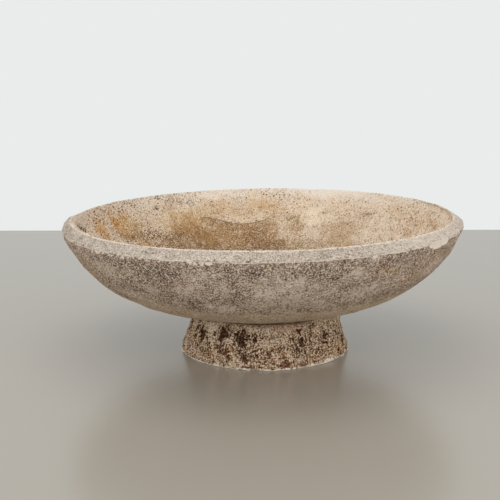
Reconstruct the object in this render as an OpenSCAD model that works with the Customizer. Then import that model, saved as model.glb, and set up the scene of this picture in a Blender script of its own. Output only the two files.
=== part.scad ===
// Bowl planter in cast concrete: a wide, shallow bowl bedded in mortar on a low, hollow foot.
// Lengths are in millimetres. The origin is on the floor, on the planter's axis, and Z points up.

/* [Bowl] */
// Widest diameter, over the outer corner of the rim
rim_d = 1000; // [880:5:1150]
// Height of the rim's outer corner over the bowl's lowest point
side_h = 230; // [205:1:300]
// Thickness of the shell, the same all over
wall = 33; // [20:1:44]
// Radius of the shoulder, where the bottom turns up into the side
shoulder_r = 309; // [230:1:350]
// Slope of the side where it meets the rim, up from level
side_angle = 68.5; // [62:0.5:73]
// Fall of the rim's face towards the outside, down from level
rim_fall = 36; // [10:1:45]
// Radius that wear has given to the rim's two corners
rim_ease = 3; // [1:0.5:8]
// Diameter of the drain hole in the middle
drain_d = 30; // [14:1:60]

/* [Foot] */
// Diameter of the foot on the floor
foot_d = 430; // [380:5:520]
// Height of the foot's casting
foot_h = 102; // [60:1:150]
// Lean of the foot's side, in from upright
foot_lean = 19; // [5:0.5:26]
// Thickness of the foot's wall
foot_wall = 28; // [18:1:38]
// Radius of the foot's worn outer corners
foot_ease = 3; // [1:0.5:8]

/* [Mortar bed] */
// Thickness of the bed at its inner edge, where it is thinnest
bed_t = 5; // [2:0.5:10]
// Distance that the bed's edges stand back from the foot's
bed_rake = 3; // [1:0.5:6]
// Gap between the bed and the bowl, which lifts off
seat_gap = 0.3; // [0.2:0.05:0.8]

/* [Reinforcement] */
// Diameter of the steel rod in the cast-in hoops
rod_d = 6; // [4:0.5:10]
// Depth of the bowl's hoop below the rim, along the wall
rim_hoop_depth = 40; // [20:1:80]
// Height of the foot's hoop above the floor
foot_hoop_z = 50; // [20:1:50]
// Gap between a hoop and the concrete round it
rod_gap = 0.1; // [0.05:0.05:0.3]

/* [Hidden] */
fine = 360; // sides that a turned shape is drawn with
arc_step = 2; // degrees between two points of a long arc
ease_step = 15; // degrees between two points of an eased corner
rim_r = rim_d / 2;
drain_r = drain_d / 2;
rod_r = rod_d / 2;

// A point at distance r from c, at an angle that counts from straight down, outwards and up.
function polar(c, r, angle) = c + r * [sin(angle), -cos(angle)];
// The angle at which p is seen from c, counted the same way.
function bearing(c, p) = atan2(p[0] - c[0], c[1] - p[1]);
// Points along an arc, without the first one where the arc runs on from another.
function arc(c, r, from, to, step = arc_step, runs_on = false) =
    let (n = ceil(abs(to - from) / step))
    [for (i = [runs_on ? 1 : 0:n]) polar(c, r, from + (to - from) * i / n)];

// The bowl's outline is two arcs that run into each other: the bottom, centred on the axis,
// and the shoulder. Here heights are from the bowl's lowest point.
rim_corner = [rim_r, side_h];
shoulder_c = polar(rim_corner, shoulder_r, side_angle - 180);
bottom_r = (shoulder_c * shoulder_c - shoulder_r * shoulder_r) / (2 * (shoulder_c[1] - shoulder_r));
bottom_c = [0, bottom_r];
turn = bearing(bottom_c, shoulder_c); // where the bottom's arc ends and the shoulder's begins

// The rim's face falls outwards between two corners. A small arc eases each corner, and its
// centre lies rim_ease below the face and rim_ease inside the wall.
rim_normal = [sin(rim_fall), cos(rim_fall)];
rim_inward = [-cos(rim_fall), sin(rim_fall)];
// The point on that line below the face at distance r from the shoulder's centre.
function under_rim(r) =
    let (
        from = rim_corner - rim_ease * rim_normal - shoulder_c,
        along = -from * rim_inward,
        step = along - sqrt(along * along - from * from + r * r)
    )
    shoulder_c + from + step * rim_inward;

outer_ease_c = under_rim(shoulder_r - rim_ease);
inner_ease_c = under_rim(shoulder_r - wall + rim_ease);
outer_end = bearing(shoulder_c, outer_ease_c);
inner_end = bearing(shoulder_c, inner_ease_c);
rim_hoop_c = polar(
    shoulder_c,
    shoulder_r - wall / 2,
    outer_end - rim_hoop_depth / shoulder_r * 180 / PI
);

// The angle at which an arc round the bottom's centre is r out from the axis.
function bottom_angle(arc_r, r) = asin(r / arc_r);

// Half of the bowl's section: out along the underside, over the rim and back in.
bowl_outline = concat(
    arc(bottom_c, bottom_r, bottom_angle(bottom_r, drain_r), turn),
    arc(shoulder_c, shoulder_r, turn, outer_end, runs_on = true),
    arc(outer_ease_c, rim_ease, outer_end, 180 - rim_fall, ease_step, true),
    arc(inner_ease_c, rim_ease, 180 - rim_fall, 180 + inner_end, ease_step),
    arc(shoulder_c, shoulder_r - wall, inner_end, turn, runs_on = true),
    arc(bottom_c, bottom_r - wall, turn, bottom_angle(bottom_r - wall, drain_r), runs_on = true)
);

// The foot's wall leans in over its height, and its two outer corners are eased.
foot_r = foot_d / 2;
foot_in = foot_h * tan(foot_lean);
foot_level_wall = foot_wall / cos(foot_lean);
foot_top_r = foot_r - foot_in;
foot_side = 90 + foot_lean; // the way that its outer face looks
low_ease_c = [foot_r - foot_ease / tan(45 - foot_lean / 2), foot_ease];
high_ease_c = [foot_top_r - foot_ease / tan(45 + foot_lean / 2), foot_h - foot_ease];
foot_hoop_c = [foot_r - foot_level_wall / 2 - foot_hoop_z * tan(foot_lean), foot_hoop_z];

// Half of the foot's section, from the inside of its underside round to the inside of its top.
foot_outline = concat(
    [[foot_r - foot_level_wall, 0]],
    arc(low_ease_c, foot_ease, 0, foot_side, ease_step),
    arc(high_ease_c, foot_ease, foot_side, 180, ease_step),
    [[foot_top_r - foot_level_wall, foot_h]]
);

// The bed lies on the foot, and its top is seat_gap below the bowl. The bowl's height follows
// from the bed's inner edge, where the two castings are closest.
bed_r = foot_top_r - bed_rake;
bed_inner_r = foot_top_r - foot_level_wall + bed_rake;
seat_r = bottom_r + seat_gap;
bowl_z = foot_h + bed_t + sqrt(seat_r * seat_r - bed_inner_r * bed_inner_r) - bottom_r;
seat_c = [0, bowl_z + bottom_r];

// Half of the bed's section: flat below, and curved as the bowl's underside above.
bed_outline = concat(
    [[bed_inner_r, foot_h], [bed_r, foot_h]],
    arc(seat_c, seat_r, bottom_angle(seat_r, bed_r), bottom_angle(seat_r, bed_inner_r), arc_step / 2)
);

// A hoop's section, or with the gap added, the channel that it lies in.
module rod(c, gap = 0) {
    translate(c) circle(rod_r + gap, $fn = 48);
}

module bowl() {
    color([0.62, 0.58, 0.52])
        translate([0, 0, bowl_z])
            rotate_extrude($fn = fine)
                difference() {
                    polygon(bowl_outline);
                    rod(rim_hoop_c, rod_gap);
                }
}

module rim_hoop() {
    color([0.45, 0.33, 0.26]) translate([0, 0, bowl_z]) rotate_extrude($fn = fine) rod(rim_hoop_c);
}

module mortar_bed() {
    color([0.78, 0.74, 0.68]) rotate_extrude($fn = fine) polygon(bed_outline);
}

module foot() {
    color([0.70, 0.64, 0.55])
        rotate_extrude($fn = fine)
            difference() {
                polygon(foot_outline);
                rod(foot_hoop_c, rod_gap);
            }
}

module foot_hoop() {
    color([0.45, 0.33, 0.26]) rotate_extrude($fn = fine) rod(foot_hoop_c);
}

bowl();
rim_hoop();
mortar_bed();
foot();
foot_hoop();
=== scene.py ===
import bpy
import numpy as np
from mathutils import Matrix, Vector


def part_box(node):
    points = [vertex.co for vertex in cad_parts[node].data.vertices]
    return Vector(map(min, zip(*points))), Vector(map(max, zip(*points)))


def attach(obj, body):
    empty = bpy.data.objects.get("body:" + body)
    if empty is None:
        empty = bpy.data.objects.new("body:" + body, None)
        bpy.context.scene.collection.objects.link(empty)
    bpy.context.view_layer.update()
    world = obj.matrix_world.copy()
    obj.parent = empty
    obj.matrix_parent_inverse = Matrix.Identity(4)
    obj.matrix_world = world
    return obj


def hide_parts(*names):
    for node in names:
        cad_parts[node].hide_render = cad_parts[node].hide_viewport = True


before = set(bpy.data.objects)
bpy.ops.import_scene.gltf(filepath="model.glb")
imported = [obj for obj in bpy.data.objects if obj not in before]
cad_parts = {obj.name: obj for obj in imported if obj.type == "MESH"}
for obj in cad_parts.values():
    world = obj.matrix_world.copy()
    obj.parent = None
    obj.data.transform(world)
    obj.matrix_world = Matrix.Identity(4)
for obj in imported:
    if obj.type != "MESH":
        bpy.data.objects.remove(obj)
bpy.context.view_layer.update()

# Weathered concrete bowl planter, bedded in mortar on a low foot. Lengths are in metres, azimuths in
# degrees round the Z axis from +X, and the camera looks along +Y, so 270 is the near side.


def linear(colour):
    # from the 0 to 255 values of a picture to linear light
    c = np.asarray(colour, float) / 255
    return np.where(c <= 0.04045, c / 12.92, ((c + 0.055) / 1.055) ** 2.4)


def added(title, data):
    # a new object in the scene
    made = bpy.data.objects.new(title, data)
    bpy.context.scene.collection.objects.link(made)
    return made


def node(tree, kind, **settings):
    # a new shader node; a setting is one of its own, or else the value of an input
    made = tree.nodes.new("ShaderNode" + kind)
    for key, value in settings.items():
        if hasattr(made, key):
            setattr(made, key, value)
        else:
            made.inputs[key.replace("_", " ")].default_value = value
    return made


def feed(socket, value):
    # gives an input a number, a colour or the output of another node; id_data is a socket's tree
    if isinstance(value, bpy.types.NodeSocket):
        socket.id_data.links.new(value, socket)
    else:
        socket.default_value = (*value, 1) if np.ndim(value) else value


def maths(operation, first, second=0.0, clamp=False):
    # a sum on first, which is a socket, and second, which is a socket or a number
    made = node(first.id_data, "Math", operation=operation, use_clamp=clamp)
    feed(made.inputs[0], first)
    feed(made.inputs[1], second)
    return made.outputs[0]


def times(first, second):
    return maths("MULTIPLY", first, second)


def plus(first, second):
    return maths("ADD", first, second)


def ranged(source, low, high):
    # 0 where source is low, 1 where it is high, with an S between
    made = node(source.id_data, "MapRange", interpolation_type="SMOOTHSTEP", From_Min=low, From_Max=high)
    feed(made.inputs["Value"], source)
    return made.outputs["Result"]


def blended(mask, first, second, kind="MIX"):
    # first where the mask is 0, and second, or second times first, where it is 1
    made = node(mask.id_data, "Mix", data_type="RGBA", blend_type=kind)
    for k, value in ((0, mask), (6, first), (7, second)):  # the factor and the two colours
        feed(made.inputs[k], value)
    return made.outputs[2]


def attribute(tree, title, output="Fac"):
    # what the mesh carries under this title at each point
    return node(tree, "Attribute", attribute_name=title).outputs[output]


def noise(place, size, detail, roughness):
    # smooth noise round 0.5, whose bumps are about size across
    made = node(place.id_data, "TexNoise", Scale=1 / size, Detail=detail, Roughness=roughness)
    feed(made.inputs["Vector"], place)
    return made.outputs["Fac"]


def bumped(shader, height, strength, distance):
    # fine relief, which only the light sees
    bump = node(height.id_data, "Bump", Strength=strength, Distance=distance)
    feed(bump.inputs["Height"], height)
    feed(shader.inputs["Normal"], bump.outputs["Normal"])


def principled(title, **settings):
    # a new material, with these values in its shader
    material = bpy.data.materials.new(title)
    material.use_nodes = True
    tree = material.node_tree
    shader = tree.nodes["Principled BSDF"]
    for key, value in settings.items():
        shader.inputs[key.replace("_", " ")].default_value = value
    return material, tree, shader


cameraSetup = {
    "place": (0.0, -2.6658, 0.7805),
    "lens": 77.15, "sensor": 36.0,  # mm
    "down": 11.205,  # degrees below level
    "turn": -0.788,  # degrees right of +Y
    "roll": -0.243,
    "reach": 200.0,
}


def makeCamera():
    # from level along +Y it is turned sideways, then down, and then rolled round the way it looks
    down, turn, roll = np.radians([cameraSetup[k] for k in ("down", "turn", "roll")])
    ahead = np.array([np.sin(turn) * np.cos(down), np.cos(turn) * np.cos(down), -np.sin(down)])
    level = np.array([np.cos(turn), -np.sin(turn), 0.0])
    above = np.cross(level, ahead)
    right = np.cos(roll) * level + np.sin(roll) * above
    up = np.cos(roll) * above - np.sin(roll) * level
    axes = np.eye(4)
    axes[:3, :3] = np.stack([right, up, -ahead], 1)
    axes[:3, 3] = cameraSetup["place"]
    data = bpy.data.cameras.new("camera")
    data.lens = cameraSetup["lens"]
    data.sensor_width = cameraSetup["sensor"]
    data.clip_end = cameraSetup["reach"]
    camera = added("camera", data)
    camera.matrix_world = Matrix(axes.tolist())
    bpy.context.scene.camera = camera


studio = {
    "wall": (233, 236, 235),
    "wallLine": 1.695,  # where the floor meets the pale wall, behind the planter
    "floor": (163, 156, 144), "floorRoughness": 0.24, "floorShine": 0.9,
    "floorReach": 20.0,
    "ambient": 0.67, "ambientColour": (0.98, 0.99, 1.0),
    "lamps": {  # place, aimed at, width, watts
        "overhead": ((-0.4, -0.3, 3.2), (0, 0, 0.2), 2.8, 23),
        "leftFront": ((-3.1, -2.8, 1.2), (0, 0, 0.15), 2.2, 60),
        "rightFront": ((3.1, -2.8, 1.2), (0, 0, 0.15), 2.2, 69),
    },
}


def makeFloor():
    # one flat face, which ends at the wall line behind the planter
    reach, wallLine = studio["floorReach"], studio["wallLine"]
    mesh = bpy.data.meshes.new("floor")
    corners = [(-reach, -reach, 0), (reach, -reach, 0), (reach, wallLine, 0), (-reach, wallLine, 0)]
    mesh.from_pydata(corners, [], [(0, 1, 2, 3)])
    floor = added("floor", mesh)
    colour = (*linear(studio["floor"]), 1)
    mesh.materials.append(principled("paleFloor", Base_Color=colour, Roughness=studio["floorRoughness"],
                                     Specular_IOR_Level=studio["floorShine"])[0])


def makeWorld():
    # the world lights softly, and shows the pale wall to the camera and in reflections
    world = bpy.data.worlds.new("studio")
    bpy.context.scene.world = world
    world.use_nodes = True
    tree = world.node_tree
    light = tree.nodes["Background"]
    feed(light.inputs["Color"], studio["ambientColour"])
    feed(light.inputs["Strength"], studio["ambient"])
    wall = node(tree, "Background", Color=(*linear(studio["wall"]), 1))
    path = node(tree, "LightPath").outputs
    shown = path["Is Camera Ray"]
    for ray in ("Is Glossy Ray", "Is Transmission Ray"):
        shown = maths("ADD", shown, path[ray], clamp=True)
    mix = node(tree, "MixShader")
    for socket, source in zip(mix.inputs, (shown, light.outputs[0], wall.outputs[0])):
        feed(socket, source)
    feed(tree.nodes["World Output"].inputs["Surface"], mix.outputs[0])


def makeLamps():
    # round lamps, each turned to face what it is aimed at
    for title, (place, aim, width, watts) in studio["lamps"].items():
        data = bpy.data.lights.new(title, "AREA")
        data.shape = "DISK"
        data.size = width
        data.energy = watts
        lamp = added(title, data)
        lamp.visible_glossy = False  # no glare on the floor
        turn = (Vector(place) - Vector(aim)).to_track_quat("Z", "Y")
        lamp.matrix_world = Matrix.Translation(place) @ turn.to_matrix().to_4x4()


makeCamera()
makeFloor()
makeWorld()
makeLamps()
view = bpy.context.scene.view_settings
view.view_transform = "Standard"
print("camera and studio")


def soft(low, high, x):
    # 0 below low, 1 above high, and an S between them
    t = np.clip((x - low) / (high - low), 0, 1)
    return t * t * (3 - 2 * t)


def bell(x, width):
    # 1 where x is 0, a third of that at width, and almost nothing past twice the width
    return np.exp(-((x / width) ** 2))


def waves(points, size, seed, count=36):
    # noise whose bumps are about size across: plane waves in random directions, added up and
    # scaled so that the result spreads about 1 either side of 0
    rng = np.random.default_rng(seed)
    ways = rng.normal(size=(count, 3))
    ways /= np.linalg.norm(ways, axis=1, keepdims=True)
    ways *= 2 * np.pi / (size * rng.uniform(0.75, 1.6, (count, 1)))
    phases = rng.uniform(0, 2 * np.pi, count)
    total = np.zeros(points.shape[:-1])
    for way, phase in zip(ways, phases):
        total += np.cos(points @ way + phase)
    return total * np.sqrt(2 / count)


def lumpy(points, lumps, seed):
    # an uneven surface: noises of several sizes, each times its height
    return sum(height * waves(points, size, seed + k) for k, (size, height) in enumerate(lumps))


def hollows(points, centres, radii, depths):
    # how far pits go in: depth times (1 - (distance / radius) squared) squared, for the deepest pit
    total = np.zeros(points.shape[:-1])
    for centre, radius, depth in zip(centres, radii, depths):
        near = 1 - ((points - centre) ** 2).sum(-1) / radius**2
        total = np.maximum(total, depth * np.clip(near, 0, 1) ** 2)
    return total


def bend(centre, radius, start, end, steps, side=1, ease=1.0):
    # an arc of a section: its angles count from straight down, outwards and up, and side is -1
    # where the concrete lies outside the arc; its rows crowd towards the end where ease is above
    # 1, and towards the start where it is below
    t = np.arange(steps) / steps
    t = 1 - (1 - t) ** ease if ease > 1 else (t ** (1 / ease) if ease < 1 else t)
    angle = start + (end - start) * t
    way = np.stack([np.sin(angle), -np.cos(angle)], 1)
    return np.asarray(centre) + radius * way, side * way


def straight(start, end, steps):
    # a straight stretch of a section, whose outside is on its right
    start, end = np.asarray(start, float), np.asarray(end, float)
    t = (np.arange(steps) / steps)[:, None]
    way = (end - start) / np.linalg.norm(end - start)
    return start + (end - start) * t, np.repeat([[way[1], -way[0]]], steps, 0)


def turned(section, normals, columns):
    # carries a section of (radius, height) round the Z axis: places, outward normals and azimuths
    azimuth = np.arange(columns) * 2 * np.pi / columns
    c, s = np.cos(azimuth), np.sin(azimuth)
    places = np.stack([section[:, :1] * c, section[:, :1] * s, section[:, 1:] + 0 * c], -1)
    outward = np.stack([normals[:, :1] * c, normals[:, :1] * s, normals[:, 1:] + 0 * c], -1)
    return places, outward, np.degrees(azimuth)[None, :] + 0 * section[:, :1]


def ringMesh(title, places, attributes, material):
    # a grid that closes on itself both ways becomes one skin, smooth, with its values per point
    rows, columns = places.shape[:2]
    i, j = np.meshgrid(np.arange(rows), np.arange(columns), indexing="ij")
    k, m = (i + 1) % rows, (j + 1) % columns
    corners = np.stack([i * columns + j, i * columns + m, k * columns + m, k * columns + j], -1)
    mesh = bpy.data.meshes.new(title)
    mesh.vertices.add(rows * columns)
    mesh.vertices.foreach_set("co", places.astype(np.float32).ravel())
    mesh.loops.add(corners.size)
    mesh.loops.foreach_set("vertex_index", corners.astype(np.int32).ravel())
    mesh.polygons.add(rows * columns)
    mesh.polygons.foreach_set("loop_start", np.arange(0, corners.size, 4, dtype=np.int32))
    mesh.update(calc_edges=True)
    mesh.validate()
    mesh.polygons.foreach_set("use_smooth", np.ones(rows * columns, bool))
    for key, values in attributes.items():
        if values.ndim == 3:
            layer = mesh.attributes.new(key, "FLOAT_COLOR", "POINT")
            padded = np.concatenate([values, np.ones(values.shape[:2] + (1,))], -1)
            layer.data.foreach_set("color", padded.astype(np.float32).ravel())
        else:
            layer = mesh.attributes.new(key, "FLOAT", "POINT")
            layer.data.foreach_set("value", values.astype(np.float32).ravel())
    mesh.materials.append(material)
    return added(title, mesh)


def apart(azimuth, middle):
    # degrees from middle to azimuth, the short way round
    return (azimuth - middle + 180) % 360 - 180


def patch(azimuth, depth, push, spots, softness=0.4):
    # soft-edged patches: each spot is (azimuth, depth in mm, half width in degrees, half height in
    # mm, strength), and its outline is an ellipse that the noise in push moves in and out
    mask = np.zeros_like(depth)
    for middle, down, wide, high, strength in spots:
        distance = np.hypot(apart(azimuth, middle) / wide, (depth - down) / high) + 0.30 * push
        mask = np.maximum(mask, strength * (1 - soft(1 - softness, 1 + softness, distance)))
    return mask


def strewn(seed, count, azimuths, depths, widths, heights):
    # patches for the sides that the photo doesn't show, strewn between the given limits
    rng = np.random.default_rng(seed)
    limits = (azimuths, depths, widths, heights, (0.45, 0.95))  # the last are strengths
    return list(zip(*[rng.uniform(least, most, count) for least, most in limits]))


def ground(points, colour):
    # one colour all over
    return np.ones(points.shape[:2] + (3,)) * linear(colour)


def lay(base, paint, coats):
    # coats of colour over base, one after another, each as thick as its mask says
    for title, mask in coats:
        base = base + (linear(paint[title]) - base) * mask[..., None]
    return base


grain = {  # what all the concretes share: the ranges of noise that grains, pores and flecks take up
    "clotLean": 0.13,  # how far the clots lean the grains towards dark or light
    "dark": (0.50, 0.37), "light": (0.50, 0.62),
    "spot": (0.45, 0.20),  # round the middle of a cell
    "pores": (0.70, 0.74), "flecks": (0.76, 0.80),  # the cells that hold one
    "poreShade": (0.22, 0.15, 0.10), "poreDepth": 0.6,
    "coatEdge": 0.16, "coatStrength": 0.95,
    "relief": 0.0016,
}


def shoreline(tree, place, colour, coarse, look):
    # where water once stood: a thin dark line at tide distance 0, and a stain that fades below it
    here = attribute(tree, "tideHere")
    wobble = plus(noise(place, look["wobble"], 2.0, 0.6), -0.5)
    distance = plus(attribute(tree, "tide"), times(wobble, look["push"]))
    line = times(ranged(maths("ABSOLUTE", distance), *look["lineWidth"]), here)
    stain = times(ranged(distance, *look["edge"]), ranged(distance, *look["fade"]))
    stain = times(times(stain, here), look["stainStrength"])
    colour = blended(stain, colour, linear(look["stain"]))
    colour = blended(times(line, look["lineStrength"]), colour, linear(look["line"]))
    return colour, times(coarse, plus(times(line, -look["lineSmooth"]), 1.0))


def concrete(title, look):
    # the skin's own colours come with the mesh; here it gets its coats, sand grains and pores
    material, tree, shader = principled(title, Roughness=0.92, Specular_IOR_Level=0.0)
    place = node(tree, "TexCoord").outputs["Object"]
    colour = attribute(tree, "tint", "Color")
    coarse = attribute(tree, "coarse")
    for coat, shade, size, push, start in look["coats"]:
        # the mesh says where a coat is, and a noise breaks up its edge
        edge = times(plus(noise(place, size, 2.0, 0.6), -0.5), push)
        mask = ranged(plus(attribute(tree, coat), edge), start, start + grain["coatEdge"])
        colour = blended(times(mask, grain["coatStrength"]), colour, linear(shade))
    if look["tide"]:
        colour, coarse = shoreline(tree, place, colour, coarse, look["tide"])

    sand = noise(place, look["sand"], 2.0, 0.7)
    clots = noise(place, look["clots"], 3.0, 0.6)
    leaning = plus(sand, times(plus(clots, -0.5), grain["clotLean"]))
    dark = times(ranged(leaning, *grain["dark"]), coarse)
    light = times(ranged(leaning, *grain["light"]), coarse)
    cells = node(tree, "TexVoronoi", Scale=1 / look["pore"])
    feed(cells.inputs["Vector"], place)
    drawn = node(tree, "SeparateColor")
    feed(drawn.inputs[0], cells.outputs["Color"])
    spot = times(ranged(cells.outputs["Distance"], *grain["spot"]), coarse)
    pores = times(spot, ranged(drawn.outputs[0], *grain["pores"]))
    flecks = times(spot, ranged(drawn.outputs[1], *grain["flecks"]))

    colour = blended(times(dark, look["dark"]), colour, look["darkShade"], "MULTIPLY")
    colour = blended(times(light, look["light"]), colour, linear(look["lightShade"]))
    colour = blended(times(pores, look["pores"]), colour, grain["poreShade"], "MULTIPLY")
    colour = blended(times(flecks, look["flecks"]), colour, linear(look["fleckShade"]))
    feed(shader.inputs["Base Color"], colour)
    height = plus(sand, times(clots, 0.5))
    height = plus(height, times(pores, -grain["poreDepth"]))
    bumped(shader, height, look["bump"], grain["relief"])
    return material


# coats: what the mesh calls it, colour, size of the noise at its edge, how far that pushes, start
bowlConcrete = concrete("bowlConcrete", {
    "coats": [("dapple", (162, 108, 62), 0.0050, 1.5, 0.48), ("fresh", (225, 213, 200), 0.0045, 1.8, 0.42)],
    "tide": {
        "wobble": 0.011, "push": 12.0,  # size of the line's bends, and how far they reach in mm
        "lineWidth": (2.8, 1.0), "lineStrength": 0.68, "line": (100, 74, 45), "lineSmooth": 0.7,
        "edge": (-0.8, 1.2), "fade": (40.0, 8.0), "stainStrength": 0.6, "stain": (150, 117, 76),
    },
    "sand": 0.0034, "clots": 0.015, "pore": 0.0074,
    "dark": 0.90, "darkShade": (0.38, 0.31, 0.25), "light": 0.86, "lightShade": (224, 206, 185),
    "pores": 0.8, "flecks": 0.6, "fleckShade": (226, 212, 194), "bump": 0.6,
})
footConcrete = concrete("footConcrete", {
    "coats": [("red", (96, 54, 35), 0.005, 1.3, 0.36), ("growth", (92, 57, 34), 0.0040, 2.5, 0.27),
              ("growth", (48, 25, 12), 0.0034, 3.0, 0.50), ("fresh", (232, 222, 207), 0.005, 1.0, 0.42)],
    "tide": None,
    "sand": 0.0036, "clots": 0.013, "pore": 0.0066,
    "dark": 0.95, "darkShade": (0.29, 0.195, 0.13), "light": 0.82, "lightShade": (220, 199, 172),
    "pores": 0.95, "flecks": 0.5, "fleckShade": (220, 204, 182), "bump": 0.7,
})
bedMortar = concrete("bedMortar", {
    "coats": [],
    "tide": None,
    "sand": 0.0044, "clots": 0.013, "pore": 0.0080,
    "dark": 0.6, "darkShade": (0.40, 0.34, 0.28), "light": 0.4, "lightShade": (214, 200, 182),
    "pores": 0.6, "flecks": 0.3, "fleckShade": (214, 198, 176), "bump": 0.7,
})

steelHoops = {
    "nodes": ("rim_hoop", "foot_hoop"),
    "scaleSize": 1 / 180, "thin": (0.07, 0.035, 0.02), "thick": (0.24, 0.10, 0.045),
    "metallic": 0.35, "roughness": 0.7, "bump": 0.5, "relief": 0.0004,
}


def rustedSteel():
    # thin and thick rust, mixed by a fine noise, which also makes the relief
    look = steelHoops
    metal = {"Metallic": look["metallic"], "Roughness": look["roughness"]}
    material, tree, shader = principled("rustedSteel", **metal)
    scale = noise(node(tree, "TexCoord").outputs["Object"], look["scaleSize"], 4.0, 0.7)
    rust = blended(ranged(scale, 0.35, 0.65), look["thin"], look["thick"])
    feed(shader.inputs["Base Color"], rust)
    bumped(shader, scale, look["bump"], look["relief"])
    return material


steel = rustedSteel()
for title in steelHoops["nodes"]:
    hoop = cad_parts[title]
    if not len(hoop.material_slots):
        hoop.data.materials.append(steel)
    for slot in hoop.material_slots:
        slot.material = steel
print("materials")

bowl = {
    "rimRadius": 0.500,
    "sideHeight": 0.230,  # from the lowest point to the rim's outer corner
    "wall": 0.033,
    "shoulderRadius": 0.309,
    "sideAngle": 68.5,
    "rimFall": 36.0,
    "rimWear": 0.003,
    "drainRadius": 0.015,
    "drainEase": 0.0005,  # how far above the underside the hole's own wall ends
    "lean": 0.667,  # degrees, the +X side higher
    "leanHeight": 0.080,
    "aside": -0.0032,  # how far the bowl sits off the foot's centre
    "columns": 832,
    "lumps": ((0.110, 0.0007), (0.042, 0.0004), (0.018, 0.00028)),  # (size, height)
    "pits": 220, "pitRadius": (0.004, 0.008), "pitDepth": (0.15, 0.32),  # depth over radius
    "deepPit": (131.5, 39, 0.0085, 0.0034),  # azimuth, mm below the inner corner, radius, depth
    "slitDepth": 0.0045,
    # where the rim is thicker than the mould: azimuth, how wide in degrees, by how much
    "thickNear": (266, 30, 0.0017),
    "thickLeft": (195, (8, 24), 0.0048),
    "thickEnd": (176, (10, 38), 0.0035),
    "jointRadius": 0.186,  # how far the painted shade and dirt of the joint reach on the underside
    "drainDirt": (0.075, 0.020),  # radii where it starts and is full
}
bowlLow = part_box("bowl")[0].z


def bowlArcs():
    # the bottom is an arc round the axis and the shoulder an arc that runs on from it: the
    # shoulder's centre, the bottom's radius, and the angle at which one becomes the other
    side, big = np.radians(bowl["sideAngle"]), bowl["shoulderRadius"]
    rim = np.array([bowl["rimRadius"], bowl["sideHeight"]])
    centre = rim - big * np.array([np.sin(side), -np.cos(side)])
    low = (centre @ centre - big**2) / (2 * (centre[1] - big))
    return centre, low, np.arctan2(centre[0], low - centre[1])


def bowlSection():
    # both arcs, inside and out, and the rim's face, which falls outwards between two small worn
    # corners: places, outward normals, millimetres along the section from the rim's outer corner,
    # and how many of these there are to the inner corner
    centre, low, turn = bowlArcs()
    rim = np.array([bowl["rimRadius"], bowl["sideHeight"]])
    fall = np.radians(bowl["rimFall"])
    big, wall, wear, hole = (bowl[k] for k in ("shoulderRadius", "wall", "rimWear", "drainRadius"))
    normal = np.array([np.sin(fall), np.cos(fall)])
    inward = np.array([-np.cos(fall), np.sin(fall)])

    def corner(r):
        # the point at distance r from the shoulder's centre that lies wear below the rim's face
        start = rim - wear * normal - centre
        along = -start @ inward
        return centre + start + (along - np.sqrt(along**2 - start @ start + r * r)) * inward

    def seen(point):
        return np.arctan2(point[0] - centre[0], centre[1] - point[1])

    outer, inner = corner(big - wear), corner(big - wall + wear)
    outerEnd, innerEnd = seen(outer), seen(inner)
    flat, axis = np.pi - fall, (0, low)
    parts = [
        bend(axis, low, np.arcsin(hole / low), turn, 20),
        bend(centre, big, turn, outerEnd, 38, ease=1.5),
        bend(outer, wear, outerEnd, flat, 3),
        straight(outer + wear * normal, inner + wear * normal, 12),
        bend(inner, wear, flat, np.pi + innerEnd, 3),
        bend(centre, big - wall, innerEnd, turn, 28, -1, ease=0.67),
        bend(axis, low - wall, turn, np.arcsin(hole / (low - wall)), 13, -1),
        straight((hole, wall), (hole, bowl["drainEase"]), 3),
    ]
    section = np.concatenate([p[0] for p in parts]) + [0, bowlLow]
    normals = np.concatenate([p[1] for p in parts])
    counts = np.cumsum([len(p[0]) for p in parts])
    steps = np.linalg.norm(np.diff(section, axis=0), axis=1)
    run = np.concatenate([[0], np.cumsum(steps)]) * 1000
    run -= run[counts[1]]
    return section, normals, run, run[counts[3]]


def setDown(places):
    # the bowl leans a little on its bed, the same for everything that belongs to it
    angle = np.radians(bowl["lean"])
    x, y, z = places[..., 0], places[..., 1], places[..., 2] - bowl["leanHeight"]
    return np.stack([
        x * np.cos(angle) - z * np.sin(angle) + bowl["aside"],
        y,
        x * np.sin(angle) + z * np.cos(angle) + bowl["leanHeight"],
    ], -1)


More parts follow.
